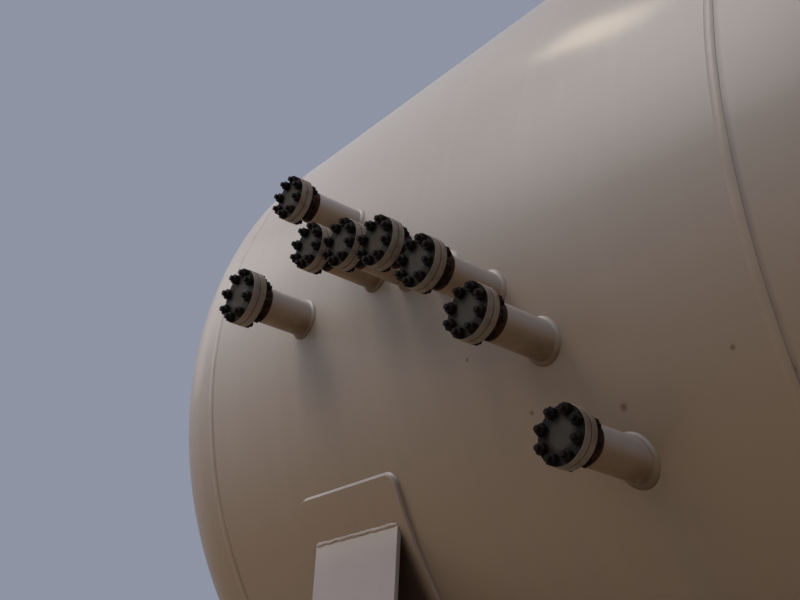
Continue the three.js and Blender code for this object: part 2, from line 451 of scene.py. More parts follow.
class Paint:
    """A material being mixed, with its nodes added one by one."""

    def __init__(self, name):
        self.material = bpy.data.materials.new(name)
        self.material.use_nodes = True
        self.tree = self.material.node_tree
        self.shader = self.tree.nodes["Principled BSDF"]
        self.where = self.node("ShaderNodeTexCoord", output="Object")
        self.bump = None

    def node(self, kind, settings=None, inputs=None, output=0):
        """Adds a node: its settings first, then its inputs by name or number."""
        made = self.tree.nodes.new(kind)
        for key, value in (settings or {}).items():
            setattr(made, key, value)
        for key, value in (inputs or {}).items():
            self.feed(made.inputs[key], value)
        return Wire(self, made.outputs[output])

    def feed(self, socket, value):
        """Links a wire to a socket, or sets the socket's own value."""
        if isinstance(value, Wire):
            self.tree.links.new(value.socket, socket)
        elif getattr(socket, "type", "") == "RGBA" and len(value) == 3:
            socket.default_value = (*value, 1)
        else:
            socket.default_value = value

    def maths(self, operation, *values):
        """A Math node on one value or two."""
        return self.node("ShaderNodeMath", {"operation": operation}, dict(enumerate(values)))

    def attribute(self, name):
        """A value that the piece's mesh holds for each of its points."""
        return self.node("ShaderNodeAttribute", {"attribute_name": name}, output="Fac")

    def axes(self, vector):
        """The three parts of a vector."""
        split = self.node("ShaderNodeSeparateXYZ", inputs={0: vector}).socket.node
        return [Wire(self, output) for output in split.outputs]

    def facing(self):
        """The three parts of the direction that the surface faces in."""
        return self.axes(self.node("ShaderNodeNewGeometry", output="Normal"))

    def stretched(self, vector, scale):
        """The vector with each part multiplied."""
        return self.node("ShaderNodeVectorMath", {"operation": "MULTIPLY"}, {0: vector, 1: scale})

    def noise(self, scale, detail=3.0, roughness=0.6, vector=None, distortion=0.0):
        """A cloud pattern with this many clouds to the metre."""
        return self.node("ShaderNodeTexNoise", inputs={
            "Vector": vector or self.where, "Scale": scale, "Detail": detail,
            "Roughness": roughness, "Distortion": distortion})

    def cells(self, scale, vector=None):
        """Distance from the nearest of scattered points."""
        return self.node("ShaderNodeTexVoronoi", {"feature": "F1"}, {
            "Vector": vector or self.where, "Scale": scale})

    def between(self, value, low, high, start=0.0, end=1.0):
        """A smooth step from start to end as the value goes from low to high."""
        return self.node("ShaderNodeMapRange", {"interpolation_type": "SMOOTHSTEP"}, {
            "Value": value, "From Min": low, "From Max": high, "To Min": start, "To Max": end})

    def until(self, value, low, high):
        """One up to low, and nothing from high on."""
        return self.between(value, low, high, 1.0, 0.0)

    def rough(self, pattern, low, high):
        """Roughness that follows a pattern."""
        return self.between(pattern, 0.3, 0.7, low, high)

    def mix(self, amount, first, second):
        """A colour between two colours."""
        return self.node("ShaderNodeMix", {"data_type": "RGBA"}, {0: amount, 6: first, 7: second}, 2)

    def near(self, centre, inner, outer):
        """One within inner of a point, and nothing past outer."""
        distance = self.node(
            "ShaderNodeVectorMath", {"operation": "DISTANCE"}, {0: self.where, 1: centre}, "Value")
        return self.until(distance, inner, outer)

    def relief(self, height, distance, strength=1.0):
        """Adds a bump of that height field, over any that is there."""
        inputs = {"Height": height, "Distance": distance, "Strength": strength}
        if self.bump is not None:
            inputs["Normal"] = self.bump
        self.bump = self.node("ShaderNodeBump", inputs=inputs)

    def done(self, colour, roughness, constants=None):
        """Feeds the shader, with its constants by the names of their sockets."""
        inputs = {"Base Color": colour, "Roughness": roughness, **(constants or {})}
        if self.bump is not None:
            inputs["Normal"] = self.bump
        for key, value in inputs.items():
            self.feed(self.shader.inputs[key], value)
        return self.material


FINISHES = {}

# Oily soot reflects less than paint
SOOTY = {"IOR": 1.2}

# The gloss that is left on the weathered paint
GLOSS = {"Coat Weight": 0.30, "Coat Roughness": 0.17}

# The attribute that holds how far out on a blind flange a point lies, from 0 to 1
REACH = "reach"

# The attribute that holds how far below its nozzle's middle a foot weld's point lies, from 0 to 1; the
# barrel paint darkens it there as painted shade
LOW_SHADE = "low"

# Small rust marks seen on the first course: along from the left seam, rise from the axis, radius
MARKS = (
    (2.331, -0.656, 0.0042),
    (1.990, -0.706, 0.0062),
    (2.452, -0.737, 0.0058),
    (1.692, -0.651, 0.0042),
    (1.496, -0.454, 0.0036),
)


def shade(colour, brightness):
    """A colour made paler or darker."""
    return [brightness * part for part in colour]


def rolled_place(paint):
    """Position on the unrolled shell: along the vessel, and round it from the top."""
    x, y, z = paint.axes(paint.where)
    round_about = paint.maths("ARCTAN2", y, z - AXIS_HEIGHT) * SHELL_RADIUS
    return paint.node("ShaderNodeCombineXYZ", inputs={0: x, 1: round_about})


def facing_down(paint, full=-0.50, none=0.14):
    """One on what faces well down, and nothing on upright faces."""
    return paint.until(paint.facing()[2], full, none)


def seam_toe_shadow(paint):
    """A soft painted shadow along the right toe of each girth weld, broken up by a cloud pattern."""
    x = paint.axes(paint.where)[0]
    past = paint.maths("FLOORED_MODULO", x - (LEFT_SEAM - COURSE_LENGTH / 2), COURSE_LENGTH)
    off = past - COURSE_LENGTH / 2
    line = paint.between(off, 0.008, 0.016) * paint.until(off, 0.016, 0.034)
    broken = paint.between(paint.noise(2.6), 0.40, 0.58, 0.35, 1.0)
    return line * broken


def shell_coat(name, colours):
    """Weathered pale paint: cloudy tone, faint rain streaks, a brown film and heavier dust on what faces
    down, partly dirt and partly painted shade, and rust specks.
    """
    paint = Paint(name)
    unrolled = rolled_place(paint)
    clouds = paint.noise(0.55, 4.0, 0.5)
    streaks = paint.noise(1.0, 4.0, vector=paint.stretched(unrolled, (9.0, 0.55, 1.0)))
    grain = paint.noise(60.0)
    # Painted shade on what faces down, mixed with real brown film and dust
    down = facing_down(paint)
    dust = paint.between(clouds * 0.5 + streaks * 0.5, 0.40, 0.72) * (down * 0.45 + 0.10)
    pale = shade(colours.shell, 1.12)
    colour = paint.mix(paint.between(streaks, 0.50, 0.72) * 0.45, colours.shell, pale)
    colour = paint.mix(down * 0.9, colour, colours.film_and_shade)
    colour = paint.mix(dust, colour, colours.shell_dust)
    # Painted shadow along the right toe of each girth weld
    colour = paint.mix(seam_toe_shadow(paint) * 0.36, colour, colours.painted_shade)
    specks = paint.until(paint.cells(1.7, unrolled), 0.006, 0.014)
    for along, rise, radius in MARKS:
        height = AXIS_HEIGHT + rise
        centre = (LEFT_SEAM + along, -surface(height), height)
        specks = paint.maths("MAXIMUM", specks, paint.near(centre, 0.3 * radius, 2.6 * radius))
    colour = paint.mix(specks * 0.70, colour, colours.rust)
    paint.relief(paint.noise(1.3, 2.0, 0.4), 0.004, 0.6)
    paint.relief(grain, 0.0004, 0.35)
    return paint, colour, paint.rough(grain * 0.4 + clouds * 0.6, 0.46, 0.58)


def shell_paint(colours):
    """The paint of shell and heads, with a little gloss left."""
    paint, colour, roughness = shell_coat("shell_paint", colours)
    return paint.done(colour, roughness, GLOSS)


def barrel_paint(colours):
    """The same paint on the barrels, darker brown underneath, near the shell and on the lower half of
    each foot weld: partly real runs, partly painted shade.
    """
    paint, colour, roughness = shell_coat("barrel_paint", colours)
    y, z = paint.axes(paint.where)[1:]
    from_axis = ((z - AXIS_HEIGHT) ** 2 + y ** 2) ** 0.5
    # Painted shade: darker on what faces down and nearer the shell, broken into patches like runs, and on
    # the lower half of each foot weld
    foot = paint.between(from_axis - SHELL_RADIUS, 0.01, 0.15, 1.0, 0.45)
    patches = paint.between(paint.noise(22.0, 3.0, 0.5), 0.30, 0.60, 0.6, 1.0)
    runs = facing_down(paint, -0.96, -0.16) * foot * patches
    low = paint.between(paint.attribute(LOW_SHADE), 0.15, 0.85) * 0.95
    dark = paint.maths("MAXIMUM", runs, low)
    return paint.done(paint.mix(dark, colour, colours.barrel_film_and_shade), roughness, GLOSS)


def wear_paint(colours):
    """The same paint on the wear plates, nearly black with painted shade where the saddles shelter them.
    """
    paint, colour, roughness = shell_coat("wear_paint", colours)
    x, y = paint.axes(paint.where)[:2]
    # Painted shade inside each saddle, between its end plates
    saddle_shade = 0.0
    for side in SIDES:
        off = paint.maths("ABSOLUTE", x - middle("pier_" + side).x)
        saddle_shade = paint.until(off, 0.205, 0.266) + saddle_shade
    behind = paint.until(paint.maths("ABSOLUTE", y), 1.530, 1.562)
    return paint.done(paint.mix(saddle_shade * behind * 0.88, colour, colours.painted_shade), roughness)


def weld_paint(colours):
    """The same paint over weld beads, a little paler, with ripples across the run, and painted shade on
    what faces down and on their right-facing sides.
    """
    paint = Paint("weld_paint")
    ripples = paint.noise(130.0, 2.0, 0.5, distortion=0.6)
    clouds = paint.noise(9.0, 3.0, 0.55)
    # A little paler than the shell paint, partly as a painted highlight on bead crowns
    pale = [tint * part for tint, part in zip((1.06, 1.03, 1.00), colours.shell)]
    # The brown film on what faces down, partly painted shade
    colour = paint.mix(facing_down(paint) * 0.9, pale, colours.film_and_shade)
    colour = paint.mix(paint.between(clouds, 0.45, 0.75) * 0.22, colour, colours.shell_dust)
    # Painted shade on the sides that face right, away from the light
    colour = paint.mix(paint.between(paint.facing()[0], 0.30, 0.75) * 0.50, colour, colours.painted_shade)
    paint.relief(ripples, 0.0008, 0.5)
    return paint.done(colour, paint.rough(ripples, 0.42, 0.56), GLOSS)


def saddle_paint(colours):
    """Flat grey primer on cut plate, scuffed, with brown runs, and cream overspray near the top."""
    paint = Paint("saddle_paint")
    clouds = paint.noise(2.2, 5.0, 0.55)
    fine = paint.noise(90.0)
    runs = paint.noise(1.0, vector=paint.stretched(paint.where, (14.0, 14.0, 0.9)))
    colour = paint.mix(paint.between(clouds, 0.35, 0.7) * 0.30, colours.saddle, colours.shell_dust)
    colour = paint.mix(paint.between(runs, 0.66, 0.84) * 0.15, colour, colours.rust)
    height = paint.axes(paint.where)[2] + clouds * 0.10
    spray = paint.between(height, SADDLE_TOP - 0.06, SADDLE_TOP + 0.05)
    colour = paint.mix(spray * 0.8, colour, colours.overspray)
    paint.relief(fine, 0.0005, 0.4)
    return paint.done(colour, paint.rough(fine, 0.50, 0.66))


def blind_steel(colours):
    """Dark grey green forging, lighter in the middle and black round the nuts: oily dirt and painted
    shade of the nuts.
    """
    paint = Paint("blind_steel")
    blotches = paint.noise(28.0, 4.0)
    fine = paint.noise(260.0)
    worn = shade(colours.blind, 1.9)
    colour = paint.mix(paint.between(fine, 0.50, 0.75) * 0.5, colours.blind, worn)
    colour = paint.mix(paint.between(blotches, 0.45, 0.75) * 0.35, colour, colours.rust)
    # Darker out towards the nuts: oily dirt and painted shade
    dirt_and_shade = paint.between(paint.attribute(REACH) + blotches * 0.25, 0.50, 0.78)
    colour = paint.mix(dirt_and_shade * 0.85, colour, colours.stud)
    paint.relief(fine, 0.0004, 0.6)
    return paint.done(colour, paint.rough(blotches, 0.50, 0.70), SOOTY)


def neck_steel(colours):
    """Bare steel between the nuts and the barrel, nearly black with brown rust: bare rusty steel and
    painted shade in the recess behind the flange.
    """
    paint = Paint("neck_steel")
    blotches = paint.noise(45.0, 4.0)
    fine = paint.noise(240.0)
    dark = shade(colours.rust, 0.55)
    colour = paint.mix(paint.between(blotches, 0.30, 0.65), colours.stud, dark)
    paint.relief(fine, 0.0004, 0.6)
    return paint.done(colour, paint.rough(fine, 0.55, 0.75), SOOTY)


def rim_paint(colours):
    """Beige paint on the flange rims, thin and stained brown."""
    paint = Paint("rim_paint")
    blotches = paint.noise(35.0, 4.0)
    fine = paint.noise(220.0)
    colour = paint.mix(paint.between(blotches, 0.42, 0.75) * 0.55, colours.rim, colours.rust)
    paint.relief(fine, 0.0003, 0.5)
    return paint.done(colour, paint.rough(fine, 0.42, 0.58))


def stud_steel(colours):
    """Nearly black oiled studs and nuts with rust on their edges."""
    paint = Paint("stud_steel")
    blotches = paint.noise(70.0, 4.0, 0.65)
    colour = paint.mix(paint.between(blotches, 0.45, 0.75) * 0.12, colours.stud, colours.rust)
    paint.relief(paint.noise(500.0, 2.0, 0.55), 0.0002, 0.6)
    return paint.done(colour, paint.rough(blotches, 0.55, 0.80), SOOTY)


def concrete(colours):
    """Formed concrete: board marks, cloudy tone, pores and a darker foot."""
    paint = Paint("concrete")
    height = paint.axes(paint.where)[2]
    clouds = paint.noise(1.6, 5.0)
    pores = paint.until(paint.cells(26.0), 0.05, 0.13)
    sand = paint.noise(140.0, 3.0, 0.7)
    board_width = 0.10
    joints = paint.until(paint.maths("PINGPONG", height, board_width), 0.0, 0.004)
    dark = shade(colours.concrete, 0.76)
    pale = shade(colours.concrete, 1.12)
    colour = paint.mix(paint.between(clouds, 0.32, 0.72), dark, pale)
    damp = paint.between(height + clouds * 0.25, 0.05, 0.38, 0.45, 0.0)
    colour = paint.mix(damp, colour, dark)
    colour = paint.mix(pores * 0.6 + joints * 0.35, colour, dark)
    paint.relief(sand, 0.0010, 0.5)
    paint.relief(1.0 - pores, 0.003, 0.7)
    paint.relief(1.0 - joints, 0.003, 0.5)
    return paint.done(colour, paint.rough(sand, 0.78, 0.92))


def grout(colours):
    """Trowelled grout, paler and finer than the pier."""
    paint = Paint("grout")
    clouds = paint.noise(5.0, 4.0)
    sand = paint.noise(180.0, 3.0, 0.7)
    pale = shade(colours.concrete, 1.28)
    colour = paint.mix(paint.between(clouds, 0.35, 0.7), colours.concrete, pale)
    paint.relief(sand, 0.0006, 0.5)
    return paint.done(colour, paint.rough(sand, 0.70, 0.86))


def mix_finishes(colours):
    """Mixes every finish once."""
    for mixed in (shell_paint, barrel_paint, wear_paint, weld_paint, saddle_paint, blind_steel,
                  rim_paint, neck_steel, stud_steel, concrete, grout):
        FINISHES[mixed.__name__] = mixed(colours)


# Turns a piece made about Z so that its axis points along the vessel
ALONG_VESSEL = Matrix.Rotation(math.pi / 2, 4, "Y")
# Turns a piece made about Z so that its axis points out along -Y
OUT_TO_SIDE = Matrix.Rotation(math.pi / 2, 4, "X")


class DESALTER_OT_shell(bpy.types.Operator):
    """Rolled shell courses: open drums with their real wall"""
    bl_idname = "desalter.shell"
    bl_label = "Shell Courses"

    def execute(self, context):
        sizes = context.scene.desalter.sizes
        for course in COURSES:
            deselect()
            bpy.ops.mesh.primitive_cylinder_add(
                vertices=sizes.shell_sides, radius=SHELL_RADIUS, depth=extent(course).x,
                end_fill_type="NOTHING", location=(middle(course).x, 0, AXIS_HEIGHT),
                rotation=(0, math.pi / 2, 0))
            drum = started(course + "_drum")
            modified(drum, "SOLIDIFY", thickness=sizes.wall, offset=-1)
            finished(drum, "shell_paint", "shell_paint", node=course)
        return {"FINISHED"}


class DESALTER_OT_heads(bpy.types.Operator):
    """Ellipsoidal heads: half a flattened ball, drawn out into the straight flange"""
    bl_idname = "desalter.heads"
    bl_label = "Heads"
    # Rings of the whole ball, from pole to pole
    rings = 96

    def execute(self, context):
        sizes = context.scene.desalter.sizes
        for side, seam, outward in zip(SIDES, (LEFT_SEAM, RIGHT_SEAM), (-1, 1)):
            node = "head_" + side
            depth = extent(node).x - sizes.straight_flange
            deselect()
            bpy.ops.mesh.primitive_uv_sphere_add(
                segments=sizes.shell_sides, ring_count=self.rings, radius=SHELL_RADIUS)
            dish = started(node + "_dish")
            select_whole(dish)
            bpy.ops.mesh.bisect(
                plane_co=(0, 0, 0), plane_no=(0, 0, 1), clear_inner=True, threshold=TOUCHING)
            bpy.ops.object.mode_set(mode="OBJECT")
            scaled(dish, z=depth / SHELL_RADIUS)
            shifted(dish, z=sizes.straight_flange)
            self.draw_straight_flange(dish, sizes.straight_flange)
            modified(dish, "SOLIDIFY", thickness=sizes.wall, offset=-1)
            put(dish, Matrix.Rotation(outward * math.pi / 2, 4, "Y"))
            shifted(dish, seam, 0, AXIS_HEIGHT)
            finished(dish, "shell_paint", "shell_paint", node=node)
        return {"FINISHED"}

    @staticmethod
    def draw_straight_flange(dish, length):
        """Extrudes the open rim of the dish down to the seam."""
        take(dish)
        bpy.ops.object.mode_set(mode="EDIT")
        bpy.ops.mesh.select_mode(type="EDGE")
        bpy.ops.mesh.select_all(action="DESELECT")
        bpy.ops.mesh.select_non_manifold(
            extend=False, use_wire=False, use_boundary=True, use_multi_face=False,
            use_non_contiguous=False, use_verts=False)
        bpy.ops.mesh.extrude_region_move(TRANSFORM_OT_translate={"value": (0, 0, -length)})
        bpy.ops.object.mode_set(mode="OBJECT")


class DESALTER_OT_seams(bpy.types.Operator):
    """Weld caps over the girth seams and the long seams of the courses"""
    bl_idname = "desalter.seams"
    bl_label = "Seams"
    # Flats round a girth weld, lengths of a long one, and sides of the rod that a long one starts as
    girth_sides = 576
    long_cuts = 80
    rod_sides = 16
    # How deep a girth weld's hidden side lies, and where across the cap its crown is worked out
    sunk = 0.003
    crown_places = (-1.0, -0.85, -0.6, -0.3, 0.0, 0.3, 0.6, 0.85, 1.0)
    # Size and height of the unevenness
    waves = (0.05, 0.0007)
    # Degrees that the long seams lie down the back from the top, on odd and on even courses
    long_places = (28, 46)

    def execute(self, context):
        sizes = context.scene.desalter.sizes
        half = sizes.seam_width / 2
        crown = [(SHELL_RADIUS + sizes.seam_height * (1 - place ** 2), half * place)
                 for place in self.crown_places]
        hidden = [(SHELL_RADIUS - self.sunk, half), (SHELL_RADIUS - self.sunk, -half)]
        seams = [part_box(course)[0].x for course in COURSES] + [RIGHT_SEAM]
        for number, x in enumerate(seams, 1):
            cap = ring(f"girth_weld_{number}", hidden + crown, self.girth_sides)
            uneven(cap, *self.waves)
            put(cap, ALONG_VESSEL)
            shifted(cap, x, 0, AXIS_HEIGHT)
            finished(cap, "shell_paint", "weld_paint", sharp=80)
        for number, course in enumerate(COURSES, 1):
            self.long_seam(number, course, sizes)
        return {"FINISHED"}

    def long_seam(self, number, course, sizes):
        """A straight cap along one course, from a rod that is flattened."""
        low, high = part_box(course)
        deselect()
        bpy.ops.mesh.primitive_cylinder_add(
            vertices=self.rod_sides, radius=sizes.seam_width / 2, depth=high.x - low.x,
            location=(middle(course).x, 0, 0), rotation=(0, math.pi / 2, 0))
        cap = started(f"long_weld_{number}")
        sliced(cap, (low.x, 0, 0), (high.x, 0, 0), self.long_cuts)
        scaled(cap, z=2 * sizes.seam_height / sizes.seam_width)
        uneven(cap, *self.waves)
        shifted(cap, z=SHELL_RADIUS)
        from_top = math.radians(self.long_places[(number + 1) % 2])
        put(cap, Matrix.Rotation(-from_top, 4, "X"))
        shifted(cap, z=AXIS_HEIGHT)
        finished(cap, "shell_paint", "weld_paint", sharp=80)


# The two kinds of nozzle, which differ in the radius of their flanges
SMALL_NOZZLE = {
    "thickness": 0.019, "barrel": 0.056, "neck": 0.046, "raised": 0.046, "bore": 0.025,
    "circle": 0.0625, "stud": 0.0085, "nut": 0.0142,
}
LARGE_NOZZLE = {
    "thickness": 0.023, "barrel": 0.064, "neck": 0.058, "raised": 0.060, "bore": 0.038,
    "circle": 0.0800, "stud": 0.0100, "nut": 0.0160,
}
LARGE_FLANGE = 0.090


def nozzle_facts(name):
    """Where a nozzle is, and the sizes that follow from its flange."""
    blind = name.replace("nozzle", "blind")
    flange = extent(name).x / 2
    facts = dict(LARGE_NOZZLE if flange > LARGE_FLANGE else SMALL_NOZZLE)
    facts["flange"] = flange
    facts["x"] = middle(name).x
    facts["z"] = middle(name).z
    facts["face"] = -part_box(blind)[0].y
    facts["joint"] = extent(blind).y - facts["thickness"]
    facts["shell"] = surface(facts["z"])
    return facts


def to_nozzle(facts):
    """From a frame with its origin on the blind's face and Z pointing out, to the vessel."""
    return Matrix.Translation((facts["x"], -facts["face"], facts["z"])) @ OUT_TO_SIDE


class DESALTER_OT_nozzles(bpy.types.Operator):
    """Nozzles: thick barrels with their flanges, and the fillet welds round their feet"""
    bl_idname = "desalter.nozzles"
    bl_label = "Nozzles"
    # How far a barrel runs on inside the shell's outside, and the wall that closes its bore there
    root_depth = 0.060
    root_wall = 0.010
    # Rounding where the neck meets the barrel and the flange
    blend = 0.004
    # How deep the foot weld's hidden sides lie, and its crown in parts of its leg: out, up
    weld_sunk = 0.004
    weld_crown = ((1.0, 0.0), (0.94, 0.28), (0.72, 0.62), (0.38, 0.90), (0.0, 1.05))

    def execute(self, context):
        sizes = context.scene.desalter.sizes
        for name in NOZZLES:
            facts = nozzle_facts(name)
            self.body(name, facts, sizes)
            self.foot_weld(name, facts, sizes)
        return {"FINISHED"}

    def body(self, name, facts, sizes):
        """The barrel, the neck behind the nuts, the flange with chamfered rims, its face and the bore."""
        barrel, neck, flange = facts["barrel"], facts["neck"], facts["flange"]
        raised, bore, joint = facts["raised"], facts["bore"], facts["joint"]
        chamfer, blend = sizes.rim_chamfer, self.blend
        front = -facts["thickness"] - 2 * joint
        back = front - facts["thickness"]
        root = facts["shell"] - facts["face"] - self.root_depth
        neck_foot = back - sizes.neck_length
        shoulder = neck_foot - (barrel - neck)
        paint_end = back - sizes.bare_and_shaded_length
        body = turned(name + "_body", [
            (barrel, root), (barrel, paint_end), (barrel, shoulder - blend),
            (barrel - 0.3 * blend, shoulder), (neck, neck_foot), (neck, back - blend),
            (neck + 0.3 * blend, back - 0.3 * blend), (neck + blend, back),
            (flange - chamfer, back), (flange, back + chamfer), (flange, front - chamfer),
            (flange - chamfer, front), (raised, front), (raised, front + joint),
            (bore, front + joint), (bore, root + self.root_wall),
        ], sizes.nozzle_sides)
        painted(body, "barrel_paint", "rim_paint", "neck_steel")
        for face in body.data.polygons:
            out = math.hypot(face.center.x, face.center.y)
            # Nearer the flange than paint_end: the rims take rim paint, the rest the nearly black steel
            # that is partly painted shade
            if face.center.z > paint_end:
                face.material_index = 1 if out > flange - chamfer else 2
        put(body, to_nozzle(facts))
        finished(body, "shell_paint", node=name)

    def foot_weld(self, name, facts, sizes):
        """A fillet where the barrel meets the shell, laid on the curve of the plate."""
        leg, barrel, sunk = sizes.nozzle_weld, facts["barrel"], self.weld_sunk
        crown = [(barrel + out * leg, up * leg) for out, up in self.weld_crown]
        hidden = [(barrel - sunk, -sunk), (barrel + leg, -sunk)]
        top = crown[-1][1]
        fillet = ring(
            name + "_foot_weld", [*hidden, *crown, (barrel - sunk, top)], sizes.nozzle_sides)
        measured(fillet, LOW_SHADE, lambda place: max(0.0, -place.y / (barrel + leg)))
        put(fillet, OUT_TO_SIDE)
        shifted(fillet, facts["x"], -facts["shell"], facts["z"])
        for vertex in fillet.data.vertices:
            vertex.co.y += facts["shell"] - surface(vertex.co.z)
        finished(fillet, "shell_paint", "barrel_paint", sharp=60)


class DESALTER_OT_blinds(bpy.types.Operator):
    """Blind flanges with painted rims, and the filler line in each joint"""
    bl_idname = "desalter.blinds"
    bl_label = "Blind Flanges"
    # A slight rise in the middle of the face: foot and top in parts of the radius, and its height
    rise = (0.15, 0.05, 0.0002)
    # How far in from the rims the filler ends, and how much its own edge is cut
    filler_depth = 0.0025
    filler_edge = 0.001

    def execute(self, context):
        sizes = context.scene.desalter.sizes
        for name in NOZZLES:
            facts = nozzle_facts(name)
            self.disc(name.replace("nozzle", "blind"), facts, sizes)
            self.filler(name + "_gasket", facts, sizes)
        return {"FINISHED"}

    def disc(self, name, facts, sizes):
        """A blind flange, with its raised face towards the nozzle."""
        flange, raised, chamfer = facts["flange"], facts["raised"], sizes.rim_chamfer
        back = -facts["thickness"]
        rise_foot, rise_top, rise_height = self.rise
        disc = turned(name + "_disc", [
            (raised, back - facts["joint"]), (raised, back), (flange - chamfer, back),
            (flange, back + chamfer), (flange, -chamfer), (flange - chamfer, 0.0),
            (rise_foot * flange, 0.0), (rise_top * flange, rise_height),
        ], sizes.nozzle_sides)
        painted(disc, "blind_steel", "rim_paint")
        measured(disc, REACH, lambda place: math.hypot(place.x, place.y) / flange)
        for face in disc.data.polygons:
            rim = math.hypot(face.center.x, face.center.y) > flange - 1.01 * chamfer
            face.material_index = 1 if rim and abs(face.normal.z) < 0.9 else 0
        put(disc, to_nozzle(facts))
        finished(disc, "blind_steel", node=name)

    def filler(self, name, facts, sizes):
        """What fills the joint between the two flanges nearly out to their rims."""
        centre = -facts["thickness"] - facts["joint"]
        edge, half = facts["flange"] - self.filler_depth, 0.75 * facts["joint"]
        filler = turned(name, [
            (edge - self.filler_edge, centre - half), (edge, centre - 0.6 * half),
            (edge, centre + 0.6 * half), (edge - self.filler_edge, centre + half),
        ], sizes.nozzle_sides)
        put(filler, to_nozzle(facts))
        finished(filler, "blind_steel", "rim_paint")


def nut(name, across, height):
    """A hexagon nut about Z from zero up, with both ends chamfered."""
    corner = across / math.cos(math.pi / 6)
    cut = 0.12 * across
    return turned(name, [
        (0.96 * across, 0.0), (corner, cut), (corner, height - cut), (0.94 * across, height),
    ], 6)


def threaded(name, radius, length, thread_pitch, plain):
    """A stud about Z, with ridges as threads over its ends and a plain middle."""
    depth = 0.28 * thread_pitch
    turns = int((length - plain) / 2 / thread_pitch)
    rows = [(radius - 2 * depth, 0.0)]
    for turn in range(turns):
        rows.append((radius, (turn + 0.5) * thread_pitch))
        rows.append((radius - depth, (turn + 1.0) * thread_pitch))
    mirrored = [(row_radius, length - height) for row_radius, height in reversed(rows)]
    return turned(name, rows + mirrored, 12)


class DESALTER_OT_bolting(bpy.types.Operator):
    """Studs with a nut at each end through every flange joint"""
    bl_idname = "desalter.bolting"
    bl_label = "Studs and Nuts"
    # Studs in each joint
    count = 8

    def execute(self, context):
        sizes = context.scene.desalter.sizes
        for name in NOZZLES:
            facts = nozzle_facts(name)
            nut_height = 1.15 * facts["nut"]
            stack = 2 * (facts["thickness"] + facts["joint"])
            front_end = nut_height + sizes.stud_reach
            length = stack + 2 * front_end
            stud = threaded("stud_pattern", facts["stud"], length, sizes.thread_pitch, stack)
            shifted(stud, z=-stack - front_end)
            front_nut = nut("front_nut_pattern", facts["nut"], nut_height)
            back_nut = nut("back_nut_pattern", facts["nut"], nut_height)
            shifted(back_nut, z=-stack - nut_height)
            bolt = joined("bolt_pattern", [stud, front_nut, back_nut])
            out = Matrix.Translation((facts["circle"], 0, 0))
            angles = [2 * math.pi * (number + 0.5) / self.count for number in range(self.count)]
            places = [to_nozzle(facts) @ Matrix.Rotation(angle, 4, "Z") @ out for angle in angles]
            bolting = spread_out(name + "_studs", bolt, places)
            finished(bolting, "blind_steel", "stud_steel", sharp=25)
        return {"FINISHED"}


class DESALTER_OT_wear_plates(bpy.types.Operator):
    """Wear plates between shell and saddles, with rounded corners and a fillet weld all round"""
    bl_idname = "desalter.wear_plates"
    bl_label = "Wear Plates"
    # Cuts round a corner, and the rounding of a plate's edges
    corner_cuts = 10
    edge_bevel = 0.0025
    # Length of the flats that a plate and its weld are rolled in
    plate_step = 0.03
    weld_step = 0.02
    # Thickness of the sheet that the weld starts as
    weld_sheet = 0.002

    def execute(self, context):
        sizes = context.scene.desalter.sizes
        inner = SHELL_RADIUS + GAP
        length = inner * sizes.wear_wrap
        leg = sizes.wear_weld
        for side in SIDES:
            node = f"saddle_{side}_wear_plate"
            x, width = middle(node).x, extent(node).x
            plate = self.rounded_sheet(node + "_rolled", length, width, sizes.wear_corner)
            modified(plate, "SOLIDIFY", thickness=sizes.wear_thickness, offset=1)
            rounded(plate, self.edge_bevel, 60)
            self.rolled(plate, x, inner, length, self.plate_step)
            finished(plate, "shell_paint", "wear_paint", node=node, sharp=20)
            weld = self.rounded_sheet(f"saddle_{side}_wear_weld", length + 2 * leg,
                                      width + 2 * leg, sizes.wear_corner + leg)
            modified(weld, "SOLIDIFY", thickness=self.weld_sheet, offset=-1)
            pick_faces(weld, lambda centre, normal: normal.z > 0.9)
            bpy.ops.mesh.inset(thickness=1.1 * leg, depth=0.92 * leg)
            self.rolled(weld, x, inner, length + 2 * leg, self.weld_step)
            finished(weld, "shell_paint", "weld_paint")
        return {"FINISHED"}

    def rounded_sheet(self, name, length, width, corner):
        """A flat sheet with rounded corners, long in Y."""
        deselect()
        bpy.ops.mesh.primitive_plane_add(size=1)
        sheet = started(name)
        scaled(sheet, width, length)
        select_whole(sheet)
        bpy.ops.mesh.bevel(
            offset=corner, offset_type="OFFSET", segments=self.corner_cuts, profile=0.5,
            affect="VERTICES", clamp_overlap=False)
        bpy.ops.object.mode_set(mode="OBJECT")
        return sheet

    @staticmethod
    def rolled(piece, x, inner, length, step):
        """Rolls a flat plate onto the shell's underside: Y becomes the way round, Z the thickness."""
        sliced(piece, (0, -length / 2, 0), (0, length / 2, 0), round(length / step))
        for vertex in piece.data.vertices:
            angle = vertex.co.y / inner
            radius = inner + vertex.co.z
            vertex.co = Vector((
                x + vertex.co.x, radius * math.sin(angle), AXIS_HEIGHT - radius * math.cos(angle)))
        piece.data.update()
        select_whole(piece)
        bpy.ops.mesh.normals_make_consistent(inside=False)
        bpy.ops.object.mode_set(mode="OBJECT")


